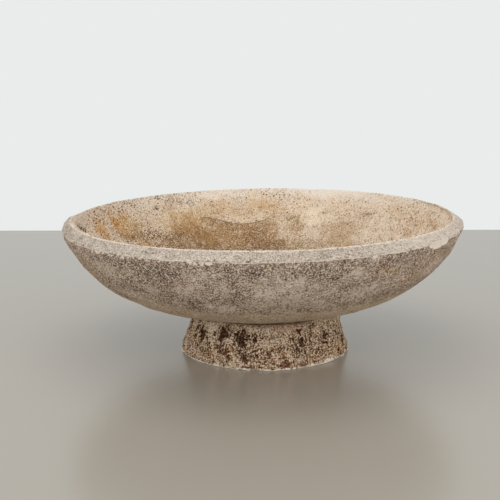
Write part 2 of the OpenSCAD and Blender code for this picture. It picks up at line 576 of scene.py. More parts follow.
# each spot: azimuth, depth below the rim's nearer corner, half width, half height, strength, in
# degrees and mm; the lists go round from +X
bowl["marks"] = {
    "outerPale": [
        (25, 70, 8, 30, 0.5), (62, 100, 11, 40, 0.55), (85, 140, 6, 24, 0.5), (110, 80, 8, 40, 0.55),
        (131, 60, 4, 20, 0.6), (150, 110, 10, 40, 0.5), (190, 70, 9, 34, 0.5), (223, 50, 6, 18, 0.5),
        (228, 132, 7, 20, 0.75), (237, 166, 5, 14, 0.7), (238, 104, 2.5, 16, 0.5), (248.5, 82, 3.2, 20, 0.8),
        (251, 30, 2, 10, 0.4), (251, 200, 5, 16, 0.4), (254, 38, 4.2, 15, 0.7), (257.3, 150, 4, 16, 1),
        (258.5, 150, 2.8, 24, 0.75), (259.5, 70, 2.4, 24, 0.85), (268, 128, 3, 26, 0.6),
        (270.5, 46, 1.2, 7, 0.95), (272, 86, 4.5, 34, 0.85), (274.5, 36, 2.2, 20, 0.8),
        (275, 62, 3, 14, 0.85), (276, 74, 3.6, 16, 1.15), (278, 112, 4, 38, 0.8), (278.5, 96, 3.5, 20, 0.7),
        (281, 54, 2.6, 14, 0.75), (281, 88, 4.5, 34, 0.9), (283, 66, 1.6, 16, 0.45), (283, 104, 3, 16, 0.6),
        (287, 134, 4, 18, 0.6), (288.5, 88, 2.6, 14, 0.55), (292.5, 188, 4, 16, 0.5),
        (295, 46, 3.5, 18, 0.75), (299, 10, 1.6, 6, 0.9), (299.5, 114, 4.6, 24, 0.9), (308, 92, 5, 20, 0.5),
        (328.5, 84, 5, 24, 0.8), (345, 100, 7, 34, 0.5),
    ],
    "outerDark": [
        (30, 34, 13, 16, 0.5), (50, 140, 12, 24, 0.4), (75, 40, 15, 16, 0.5), (120, 36, 16, 18, 0.5),
        (140, 130, 12, 24, 0.4), (170, 40, 16, 16, 0.5), (225, 24, 10, 12, 0.6), (230, 110, 6, 24, 0.5),
        (234, 70, 5, 14, 0.35), (242, 26, 9, 14, 0.75), (243, 156, 4, 12, 0.3), (246, 124, 6, 26, 0.6),
        (247, 46, 3, 8, 0.5), (251, 142, 3.4, 20, 0.55), (259.8, 32, 3, 14, 0.8), (263, 104, 3, 30, 0.4),
        (266.5, 26, 7, 16, 0.8), (285, 162, 7, 9, 0.6), (286, 22, 8, 16, 0.3), (291, 71, 4, 16, 0.45),
        (293, 78, 2, 10, 0.35), (295.5, 97, 3.5, 16, 0.45), (303, 70, 3, 12, 0.35), (306, 20, 9, 12, 0.45),
        (318, 112, 5, 18, 0.35), (355, 40, 11, 18, 0.5),
    ],
    "outerTan": [
        (30, 180, 18, 50, 0.4), (100, 190, 22, 50, 0.4), (205, 150, 12, 60, 0.5), (213, 48, 6, 26, 0.5),
        (232, 148, 8, 26, 0.5), (234, 172, 3, 12, 0.5), (240, 203, 6, 22, 0.85), (256, 200, 8, 26, 0.3),
        (286, 206, 3, 26, 0.8), (300, 196, 8, 20, 0.35), (306, 48, 5, 20, 0.45), (309, 158, 5, 16, 0.55),
        (316, 96, 5, 26, 0.45), (322, 100, 5, 20, 0.5), (325, 60, 8, 30, 0.4), (345, 170, 14, 60, 0.5),
    ],
    "outerRust": [
        (60, 70, 2, 8, 0.5), (160, 90, 2, 8, 0.5), (200, 60, 2.5, 8, 0.4), (242, 200, 1.4, 6, 0.7),
        (243, 152, 2.2, 6, 0.55), (249, 66, 1.6, 6, 0.4), (253, 92, 1.2, 10, 0.35), (302.5, 42, 1.8, 10, 0.4),
        (311, 64, 2, 6, 0.3), (313, 148, 2.5, 7, 0.6), (315, 98, 1.8, 7, 0.7), (321, 66, 2.4, 9, 0.45),
        (325, 36, 2.5, 5, 0.45),
    ],
    "outerGreen": [
        (20, 130, 6, 10, 0.4), (130, 150, 6, 10, 0.4), (227, 50, 3, 8, 0.4), (237, 160, 1.6, 6, 0.4),
        (294, 170, 2, 12, 0.4), (308, 46, 1.6, 9, 0.6), (309, 172, 3, 8, 0.5), (318, 84, 2, 8, 0.4),
    ],
    "gold": [
        (9, 52, 5, 9, 0.8), (24, 52, 15, 26, 0.35), (36, 42, 4, 14, 0.5), (56, 150, 8, 40, 0.25),
        (82.5, 64, 2, 14, 0.3), (88, 56, 5.5, 20, 0.4), (103, 62, 13, 20, 0.28), (120.5, 92, 9.5, 27, 0.6),
        (126, 100, 4, 18, 0.45), (144.5, 78, 3.6, 30, 0.6), (145, 136, 3.6, 14, 0.7),
        (146.5, 116, 4, 22, 0.95), (149, 92, 4.4, 28, 0.95), (150, 62, 4.2, 26, 0.95),
        (151.4, 102, 2.6, 22, 1), (152, 34, 2, 12, 0.5), (152.8, 74, 2.6, 22, 1), (161, 44, 2.6, 16, 0.6),
        (163.5, 62, 4, 30, 0.9),
    ],
    "orange": [
        (9, 51, 3.5, 6, 0.4), (20.5, 76, 3.5, 8, 0.3), (24, 98, 3.8, 10, 0.45), (30, 106, 3, 7, 0.3),
        (142, 17, 1, 6, 0.3), (147.8, 134, 2, 12, 0.6), (149.2, 120, 1.8, 12, 0.85),
        (150.8, 105, 1.6, 12, 0.8), (152, 90, 1.6, 12, 0.9), (152.9, 74, 1.6, 12, 0.95),
        (153.6, 58, 1.5, 12, 0.95), (154.4, 42, 1.3, 12, 0.8), (155, 27, 1.4, 8, 0.5),
        (163.2, 92, 2.2, 10, 0.8), (164.2, 82, 2, 12, 0.95), (165.2, 66, 1.4, 14, 0.6),
    ],
    "ochre": [
        (47, 178, 7, 9, 0.4), (50, 72, 5.5, 9, 0.35), (52.5, 112, 2.6, 24, 0.3), (55, 128, 9, 58, 0.32),
        (59, 90, 3, 14, 0.3), (64, 120, 2.4, 12, 0.35), (66, 150, 4, 18, 0.25), (76.5, 128, 3, 16, 0.7),
        (83, 190, 6, 28, 0.85), (86, 130, 3, 24, 0.6), (87, 92, 3, 22, 0.4), (90, 182, 8, 46, 0.95),
        (95, 152, 6, 42, 0.95), (103, 128, 5, 20, 0.95), (104, 164, 8, 56, 0.95), (108.5, 112, 4.5, 19, 0.95),
        (109, 100, 2.4, 12, 0.6), (112, 160, 8, 52, 0.95), (120, 140, 8.6, 46, 1), (129, 160, 7, 44, 0.85),
        (138, 150, 7, 34, 0.6), (144, 122, 5, 20, 0.4), (152, 104, 4, 14, 0.5),
    ],
    "umber": [
        (70.5, 122, 2.8, 3.5, 0.7), (81, 186, 4, 14, 0.5), (82, 96, 1.5, 12, 0.3), (88, 204, 11, 20, 0.85),
        (92, 134, 3, 22, 0.5), (94, 172, 4, 26, 0.55), (99, 132, 3, 10, 0.35), (102, 150, 1.2, 18, 0.3),
        (106, 207, 14, 14, 0.6), (117, 156, 5, 30, 0.4), (122, 29, 2.4, 6, 0.4), (122, 190, 12, 14, 0.8),
        (124, 158, 6, 12, 0.6), (125, 19, 4, 12, 0.28), (127, 168, 4, 12, 0.45), (131, 142, 7, 15, 0.75),
        (134, 176, 9, 16, 0.75), (141, 120, 6, 16, 0.85), (149, 113, 4, 12, 0.8), (153, 101, 2.6, 9, 0.35),
    ],
    "olive": [
        (40, 175, 8, 6, 0.4), (57, 172, 3.8, 13, 0.45), (74.5, 196, 4.5, 11, 0.75),
        (77.5, 102, 3.2, 13, 0.85), (112, 92, 3, 9, 0.4), (144, 76, 3, 18, 0.45), (161, 36, 2.5, 12, 0.4),
    ],
    "greyPink": [
        (65, 186, 4.5, 12, 0.6), (81, 152, 4, 26, 0.4), (124, 30, 4, 10, 0.35), (131, 130, 3, 14, 0.3),
        (137, 62, 5, 34, 0.45), (145, 20, 6, 16, 0.45), (157, 62, 1.6, 34, 0.6), (158, 14, 8, 12, 0.6),
        (168, 50, 3, 16, 0.5), (172, 20, 9, 30, 0.35),
    ],
    "cream": [
        (4, 28, 9, 16, 0.5), (24, 34, 13, 22, 0.45), (35.5, 80, 3, 10, 0.5), (38.5, 106, 3, 22, 0.6),
        (41, 66, 1.6, 24, 0.8), (44, 118, 3, 34, 0.65), (47.5, 148, 2.4, 12, 0.6), (63, 92, 3, 16, 0.5),
        (69, 150, 4, 20, 0.5), (70.5, 88, 3.4, 31, 1), (78, 56, 4, 18, 0.4), (80, 156, 3, 14, 0.35),
        (82.5, 118, 1.2, 24, 0.5), (92, 98, 3, 9, 0.5), (97.5, 103, 5, 10, 0.55), (102, 18, 14, 20, 0.35),
        (104, 96, 4, 12, 0.4), (111, 120, 2.2, 9, 0.35), (133, 92, 6, 10, 0.3), (136, 50, 6, 26, 0.35),
    ],
    "line": [
        (44.5, 64, 1.4, 2.2, 0.6), (47, 67, 1.8, 2.4, 0.8), (50, 69, 1.8, 2.4, 0.7), (53, 73, 1.6, 2.2, 0.5),
        (56, 102, 2.4, 2.4, 0.4), (57, 80.5, 1.8, 2.4, 0.8), (60, 80, 1.6, 2.6, 0.7),
        (66, 74, 1.4, 2.4, 0.35), (78, 90, 2.6, 2.4, 0.4),
    ],
    "dapple": [
        (20, 66, 15, 44, 0.36), (36, 50, 6, 30, 0.3), (118, 28, 4, 10, 0.3), (125, 20, 5, 14, 0.42),
        (140, 120, 8, 34, 0.3), (145, 14, 4, 12, 0.3), (158, 14, 5, 14, 0.34), (168, 24, 9, 22, 0.42),
    ],
    "pit": [(131.5, 42, 1.1, 5.5, 1.2)],
    "shadedSlit": [
        (176.4, 52, 1.2, 6, 1.2), (177.6, 47, 1.6, 7, 1.5), (179, 42, 1.6, 7, 1.5), (180.4, 37, 1.6, 7, 1.5),
        (181.9, 32, 1.4, 6, 1), (183.2, 27, 1, 6, 0.6),
    ],
    "specks": [
        (24, 44, 16, 36, 0.7), (52, 40, 5, 12, 0.5), (57, 28, 5, 14, 0.6), (77, 22, 3, 14, 0.6),
        (87, 16, 5, 18, 0.8), (98, 24, 4, 14, 0.5), (118, 24, 4, 16, 0.6), (124, 30, 2.6, 8, 1),
        (126, 18, 5, 18, 1), (140, 124, 6, 26, 0.8), (141, 16, 4, 14, 0.5), (156, 16, 6, 18, 0.9),
        (168, 22, 8, 24, 0.9), (173, 26, 9, 22, 1),
    ],
    "smooth": [
        (35, 8, 12, 14, 0.7), (40, 92, 2.4, 30, 0.4), (43, 30, 7, 14, 0.7), (62, 10, 20, 20, 1),
        (70.5, 90, 3, 26, 0.5), (92.5, 46, 4, 10, 0.5), (104, 14, 9, 18, 0.6), (116, 160, 4, 26, 0.6),
        (134, 24, 4, 12, 0.5), (135, 74, 5, 16, 0.5),
    ],
    "bandPaleAndHighlight": [(325, 0, 28, 1, 1), (352, 0, 16, 1, 1)],
    "bandGrey": [(289, 0, 16, 1, 1)],
}
behind, nearWall, floorOfBowl = (8, 172), (188, 352), (0, 360)
for title, seed, count, azimuths, depths, widths, heights in (
    ("outerPale", 111, 12, behind, (30, 150), (2, 6), (14, 36)),
    ("outerDark", 112, 9, behind, (14, 150), (3, 8), (10, 30)),
    ("outerTan", 113, 7, behind, (110, 215), (4, 9), (14, 34)),
    ("outerRust", 114, 6, behind, (30, 170), (1.2, 2.6), (6, 12)),
    ("gold", 115, 9, nearWall, (30, 150), (2, 6), (10, 34)),
    ("orange", 116, 5, nearWall, (30, 120), (1.4, 3), (7, 15)),
    ("ochre", 117, 12, nearWall, (90, 220), (4, 10), (18, 50)),
    ("greyPink", 118, 9, nearWall, (8, 130), (3, 8), (12, 30)),
    ("cream", 119, 12, nearWall, (20, 200), (2, 6), (10, 34)),
    ("specks", 120, 8, nearWall, (8, 60), (3, 8), (8, 20)),
    ("ochre", 121, 10, floorOfBowl, (250, 410), (7, 22), (14, 40)),
    ("umber", 122, 9, floorOfBowl, (240, 400), (6, 20), (10, 26)),
    ("cream", 123, 7, floorOfBowl, (240, 400), (5, 14), (8, 24)),
):
    bowl["marks"][title] += strewn(seed, count, azimuths, depths, widths, heights)
# the tide line: azimuth, depth below the rim's inner corner in mm
bowl["tide"] = [
    (88, 98), (89.5, 104), (92, 110), (95, 115), (99, 115), (102, 112), (104.5, 107), (106.5, 101),
    (108.5, 95), (110.5, 91), (113.5, 87),
]
bowl["paint"] = {
    "outer": (141, 121, 105), "outerPale": (211, 195, 180), "outerDark": (111, 99, 91),
    "outerTan": (180, 150, 116), "outerRust": (160, 118, 86), "outerGreen": (162, 150, 112),
    "under": (207, 186, 160), "band": (178, 167, 155), "bandPaleAndHighlight": (205, 193, 180),
    "bandGrey": (156, 146, 134), "crestHighlight": (236, 220, 200), "innerTop": (213, 200, 184),
    "inner": (208, 184, 153), "deep": (190, 162, 127), "bottom": (164, 136, 105), "fair": (231, 213, 191),
    "grey": (210, 194, 176), "topCream": (229, 220, 208), "tan": (190, 158, 122), "cream": (231, 213, 188),
    "greyPink": (186, 164, 146), "gold": (183, 142, 82), "orange": (177, 124, 55), "ochre": (156, 120, 75),
    "umber": (126, 95, 60), "olive": (156, 136, 92), "shadedSlit": (48, 36, 27), "shade": (92, 76, 62),
    "jointShadeAndDirt": (104, 76, 48),
}


def tidePath(azimuth):
    # how deep the tide line lies at each azimuth, and how much of a line there is
    along, deep = np.array(bowl["tide"]).T
    a = azimuth % 360
    there = soft(along[0] - 1.5, along[0] + 0.5, a) * (1 - soft(along[-1] - 0.5, along[-1] + 1.5, a))
    return np.interp(a, along, deep), there


def outerTint(points, azimuth, depth, wide, mid, fine, edge):
    # pale and dark clouds over the ground, a paler underside that is partly painted light from the floor, and
    # the patches
    blot = mid * 0.6 + wide * 0.5
    tint = lay(ground(points, bowl["paint"]["outer"]), bowl["paint"], [
        ("outerPale", 0.40 * soft(0.0, 1.5, blot + 0.5 * fine)),
        ("outerDark", 0.32 * soft(0.1, 1.5, -blot + 0.5 * fine)),
        # the underside is paler: partly its own tone, partly painted bounce light from the floor
        ("under", 0.85 * soft(140, 205, depth + 9 * mid)),
    ])
    broken = 0.45 + 0.55 * soft(-0.8, 0.7, waves(points, 0.017, 16))
    coats = {title: patch(azimuth, depth, 1.5 * edge, bowl["marks"][title], 0.5) * broken
             for title in ("outerTan", "outerDark", "outerPale", "outerRust", "outerGreen")}
    # painted shade and dirt on the underside, inside the joint's radius
    inJointShadeAndDirt = np.hypot(points[..., 0], points[..., 1]) < bowl["jointRadius"]
    tint = lay(tint, bowl["paint"], [*coats.items(), ("jointShadeAndDirt", 0.85 * inJointShadeAndDirt)])
    return tint, 1 - 0.2 * soft(140, 215, depth + 9 * mid) - 0.25 * coats["outerPale"]


def bandTint(points, azimuth, wide, mid, fine, edge):
    # the rim's face: grey and pale clouds, and the long patches
    blot = mid * 0.6 + wide * 0.5
    return lay(ground(points, bowl["paint"]["band"]), bowl["paint"], [
        ("bandGrey", 0.7 * soft(0.1, 1.3, blot + 0.6 * fine)),
        ("bandPaleAndHighlight", 0.55 * soft(0.3, 1.4, -mid + 0.6 * fine)),
        ("bandPaleAndHighlight", 0.7 * patch(azimuth, 0 * azimuth, edge, bowl["marks"]["bandPaleAndHighlight"], 0.8)),
        ("bandGrey", 0.45 * patch(azimuth, 0 * azimuth, edge, bowl["marks"]["bandGrey"], 0.6)),
    ])


def innerTint(points, azimuth, depth, wide, mid, fine, edge):
    # the inside darkens with depth; dirt has settled on the bottom, most of it round the drain hole
    stir = depth + (14 * wide + 8 * mid + 5 * fine)
    settled = soft(225, 320, stir) * soft(-0.4, 1.2, wide + 0.4 * mid)
    fromHole = np.hypot(points[..., 0], points[..., 1]) + 0.008 * mid
    tint = lay(ground(points, bowl["paint"]["innerTop"]), bowl["paint"], [
        ("inner", soft(22, 60, stir)),
        ("deep", 0.8 * soft(60, 140, stir)),
        ("bottom", 0.8 * soft(130, 230, stir)),
        ("cream", 0.4 * soft(0.1, 1.3, mid + 0.5 * fine)),
        ("umber", 0.45 * settled),
        ("umber", 0.6 * soft(*bowl["drainDirt"], fromHole)),
        ("greyPink", 0.35 * soft(0.2, 1.4, -wide + 0.5 * fine)),
        ("tan", 0.5 * soft(0.1, 1.3, waves(points, 0.019, 14)) * soft(15, 50, depth)),
    ])
    # the +X half is fairer and the -X end greyer, and both ends are dappled
    toX = np.cos(np.radians(azimuth))
    fair = 0.58 * soft(-0.1, 0.5, toX) + 0.4 * soft(0.55, 0.85, toX)
    end = soft(0.72, 0.92, -toX)
    far = soft(0.35, 0.75, toX) * soft(150, 90, depth)
    dots = waves(points, 0.0085, 18)
    # and water has run down the wall in narrow streaks
    down = np.stack([0.5 * toX, 0.5 * np.sin(np.radians(azimuth)), 0.0001 * depth], -1)
    tint = lay(tint, bowl["paint"], [
        ("fair", fair * soft(230, 110, depth)),
        ("grey", 0.35 * soft(0.5, 0.95, -toX)),
        ("umber", 0.35 * end * soft(0.5, 1.6, waves(points, 0.0075, 17))),
        ("cream", 0.75 * end * soft(0.1, 1.2, dots)),
        ("cream", 0.6 * far * soft(0.2, 1.2, dots)),
        ("gold", 0.55 * far * soft(0.5, 1.5, waves(points, 0.0105, 19))),
        ("ochre", 0.30 * soft(0.1, 1.4, waves(down, 0.011, 15)) * soft(45, 100, depth)),
    ])

    def marked(title, ragged=1.0, softness=0.5):
        return patch(azimuth, depth, ragged * edge, bowl["marks"][title], softness)

    # the ochre pool ends at the tide line
    tide, there = tidePath(azimuth)
    above = depth - tide
    ochre = marked("ochre", 1.0, 0.40) * (1 - there * (1 - soft(-3, 3, above)) * 0.95)
    gold, orange = marked("gold", 0.8), marked("orange", 0.45)
    shadedSlit = np.minimum(marked("shadedSlit", 0.2, 0.4), 1)
    smooth = marked("smooth")
    tint = lay(tint, bowl["paint"], [
        ("greyPink", marked("greyPink")),
        ("gold", gold),
        ("orange", orange),
        ("ochre", ochre),
        ("umber", marked("umber")),
        ("olive", marked("olive", 1.0, 0.4)),
        ("cream", marked("cream", 1.0, 0.4)),
        ("umber", marked("line", 0.5)),
        # painted shade in the deep pit
        ("shade", marked("pit", 0, 0.3)),
        # painted shade in the slit, which is also cut in as a groove
        ("shadedSlit", shadedSlit),
        ("topCream", 0.75 * smooth * soft(45, 20, depth)),
    ])
    coarse = 0.86 + 0.4 * marked("specks", 1.0, 0.6) - 0.6 * smooth
    coarse += np.where(toX > 0, 0.2, 0.45) * soft(0.5, 0.9, np.abs(toX))
    coarse -= 0.25 * ochre + 0.45 * np.maximum(gold, orange) + 0.6 * shadedSlit
    return tint, coarse, marked("dapple", 1.0, 0.6), above, there


def bowlValues(points, azimuth, run, face):
    # what the skin carries: its colours, how coarse it looks, where it is dappled, and the tide
    wide, mid, fine = waves(points, 0.075, 11), waves(points, 0.030, 12), waves(points, 0.012, 13, 48)
    noises = wide, mid, fine, 0.55 * mid + 0.65 * fine
    outside, outerCoarse = outerTint(points, azimuth, -run, *noises)
    band = bandTint(points, azimuth, *noises)
    inside, innerCoarse, dapple, above, there = innerTint(points, azimuth, run - face, *noises)

    # the three grounds meet along uneven lines at the rim's two corners
    toBand = soft(-2.0, 2.0, run + 1.6 * mid + 2.2 * fine)
    toInside = soft(-1.2, 1.2, run - face + 0.5 * fine)
    coarse = (outerCoarse * (1 - toBand) + 0.68 * toBand) * (1 - toInside) + innerCoarse * toInside
    one, two = toBand[..., None], toInside[..., None]
    tint = (outside * (1 - one) + band * one) * (1 - two) + inside * two

    # thin lines along the corners: a darker line below the inner one, painted highlights along both crests,
    # and painted shade under the outer
    toX = np.cos(np.radians(azimuth))
    crestHighlight = np.maximum(0.9 * soft(-2.4, -0.4, mid), 0.95 * soft(0.3, 0.8, toX))
    tint = lay(tint, bowl["paint"], [
        ("umber", 0.5 * bell(run - face - 7, 4) * soft(0.84, 0.97, toX)),
        # painted highlight along the inner corner, strongest towards +X
        ("crestHighlight", bell(run - face, 1.9) * crestHighlight),
        # painted highlight along the outer corner, in the band's pale colour
        ("bandPaleAndHighlight", 0.75 * bell(run - 1.0, 2.2) * soft(-1.0, 0.6, fine)),
        ("shade", 0.6 * bell(run + 3.6, 2.4) * soft(-0.6, 0.9, mid + 0.5 * fine)),
    ])
    return {"tint": tint, "coarse": np.clip(coarse, 0.05, 1.35), "dapple": dapple * toInside,
            "tide": above, "tideHere": there * toInside}


bowl["rim"] = {
    "nibbled": [(238, 0, 20, 1, 1.0), (285, 0, 14, 1, 0.3), (314, 0, 5, 1, 0.6)],  # spots, as above
    "nibble": 1.6,  # mm
    "worn": 0.75,  # mm, and it differs from place to place
    "wornEnd": (178, (8, 32), 5.4),  # azimuth, degrees to either side, how much more is worn
    "inner": 0.0006,
    # azimuth, half width in degrees, how deep the corner is broken off, and how far the break
    # reaches down the wall and across the rim's face, in mm
    "chips": [
        (20, 2, 3, 8, 6), (95, 3, 3, 10, 6), (222.5, 1, 2, 9, 3), (252.4, 0.8, 2.6, 5, 11),
        (255.4, 0.6, 2.2, 11, 5), (257.3, 0.9, 2.6, 9, 6), (299, 1, 2.2, 12, 3), (322.3, 3.6, 5.6, 18, 9),
        (326, 3.7, 4.2, 12, 8),
    ],
    "bigChip": 4,  # deeper than this, a break is pale all over, and its outline smoother
}


def cornerWear(places, azimuth, run):
    # how much of the rim's outer corner is gone, and where the break is fresh: a worn, nibbled
    # edge all round, worn most at the -X end and nibbled most at the left of the near side
    nibble = waves(places, 0.011, 32) + 0.6 * waves(places, 0.0078, 34, 60)
    zone = patch(azimuth, 0 * run, 0 * run, bowl["rim"]["nibbled"], 0.35)
    nibbled = (0.10 + 0.90 * zone) * soft(0.3, 1.5, nibble)
    middle, (full, none), more = bowl["rim"]["wornEnd"]
    worn = 1.0 + 0.5 * np.clip(waves(places, 0.05, 31), -0.8, 2)
    worn += more * (1 - soft(full, none, np.abs(apart(azimuth, middle))))
    reach = np.where(run < 0, 5 + 2.2 * worn, 4 + 1.6 * worn)
    gone = bowl["rim"]["worn"] * worn * np.clip(1 - np.abs(run) / reach, 0, 1)
    near = np.clip(1 - np.abs(run) / np.where(run < 0, 12, 4.5), 0, 1)
    gone = gone + bowl["rim"]["nibble"] * nibbled * near
    fresh = (0.10 + 0.62 * nibbled + 0.17 * zone) * soft(0.0, 0.5, near)
    for middle, wide, deep, down, over in bowl["rim"]["chips"]:
        big = deep > bowl["rim"]["bigChip"]
        ragged = 1 + (0.05 if big else 0.12) * waves(places, 0.025 if big else 0.02, 35)
        along = np.abs(apart(azimuth, middle)) / (wide * ragged)
        # the break is deepest in the middle, and its ends are round
        extent = np.sqrt(np.clip(1 - along**2, 0.0001, 1)) * ragged
        inner = np.clip(1 - np.abs(run) / (np.where(run < 0, down, over) * extent), 0, 1)
        gone = np.maximum(gone, deep * inner * soft(0.05, 0.5, extent))
        shown = soft(0.0, np.where(run < 0, 0.12, 0.8), inner)
        fresh = np.maximum(fresh, shown * (1.6 if big else 0.9))
    return gone, fresh


def rimRelief(azimuth, run, face):
    # the rim is thicker than the mould in three places
    onRim = soft(8, 22, run) * soft(face + 34, face + 10, run)
    middle, wide, rise = bowl["thickNear"]
    relief = rise * onRim * bell(apart(azimuth, middle), wide)
    middle, reach, rise = bowl["thickLeft"]
    relief += rise * onRim * (1 - soft(*reach, np.abs(apart(azimuth, middle))))
    middle, reach, rise = bowl["thickEnd"]
    return relief + rise * bell(run - 13, 9) * (1 - soft(*reach, np.abs(apart(azimuth, middle))))


def makeBowl():
    # the section is carried round the axis, and each point moves out along its normal by the relief:
    # lumps, plus where the rim is thicker, less wear, the slit and the pits; then it is all leaned
    section, normals, run, face = bowlSection()
    places, outward, azimuth = turned(section, normals, bowl["columns"])
    run = run[:, None] + 0 * azimuth
    rng = np.random.default_rng(5)

    relief = lumpy(places, bowl["lumps"], 20)
    gone, fresh = cornerWear(places, azimuth, run)
    relief -= 0.001 * gone
    relief *= 1 - 0.6 * np.clip(1 - np.abs(run - face) / 12, 0, 1)
    relief += rimRelief(azimuth, run, face)
    innerWear = 0.7 + 0.15 * np.clip(waves(places, 0.05, 33), -0.8, 2)
    relief -= bowl["rim"]["inner"] * innerWear * np.clip(1 - np.abs(run - face) / 5, 0, 1)
    relief -= bowl["slitDepth"] * patch(azimuth, run - face, 0 * run, bowl["marks"]["shadedSlit"], 0.3)
    # pits, shallower by the two corners of the rim
    rows = rng.integers(0, len(section), bowl["pits"])
    columns = rng.integers(0, bowl["columns"], bowl["pits"])
    radii = rng.uniform(*bowl["pitRadius"], bowl["pits"])
    byCorner = np.minimum(np.abs(run[rows, 0]), np.abs(run[rows, 0] - face)) < 16
    depths = radii * rng.uniform(*bowl["pitDepth"], bowl["pits"]) * np.where(byCorner, 0.35, 1)
    relief -= hollows(places, places[rows, columns], radii, depths)
    pitAzimuth, pitDown, pitRadius, pitDepth = bowl["deepPit"]
    pit = np.argmin(np.abs(run[:, 0] - face - pitDown)), int(bowl["columns"] * pitAzimuth / 360)
    relief -= hollows(places, [places[pit]], [pitRadius], [pitDepth])
    drain = (run < run[0, 0] + 12) | (run > run[-4, 0] - 14)  # the hole and its edges stay true
    relief = np.where(drain, 0, relief)

    values = bowlValues(places, azimuth, run, face)
    values["coarse"] = values["coarse"] * np.clip(1.1 - fresh, 0.24, 1)
    values["fresh"] = fresh
    piece = ringMesh("bowl_skin", setDown(places + outward * relief[..., None]), values, bowlConcrete)
    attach(piece, "bowl")
    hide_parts("bowl")


makeBowl()
print("bowl")

foot = {
    "radius": 0.215, "height": 0.102, "lean": 19.0, "wall": 0.028, "wear": 0.003,
    "aside": 0.0035,  # the top sits this far to +X of the base
    "columns": 832,
    "lumps": ((0.060, 0.0009), (0.022, 0.0006), (0.009, 0.0003)),  # (size, height)
    "pits": 170, "pitRadius": (0.0025, 0.006), "pitDepth": (0.2, 0.4),  # depth over radius
    "pitRows": (12, 64),  # the rows of the outer side
    "growthDepth": 0.0006,
    "chipDepth": 0.0011, "chipHeight": 0.007, "chipReach": 0.012,  # the chipped edge of the base
}
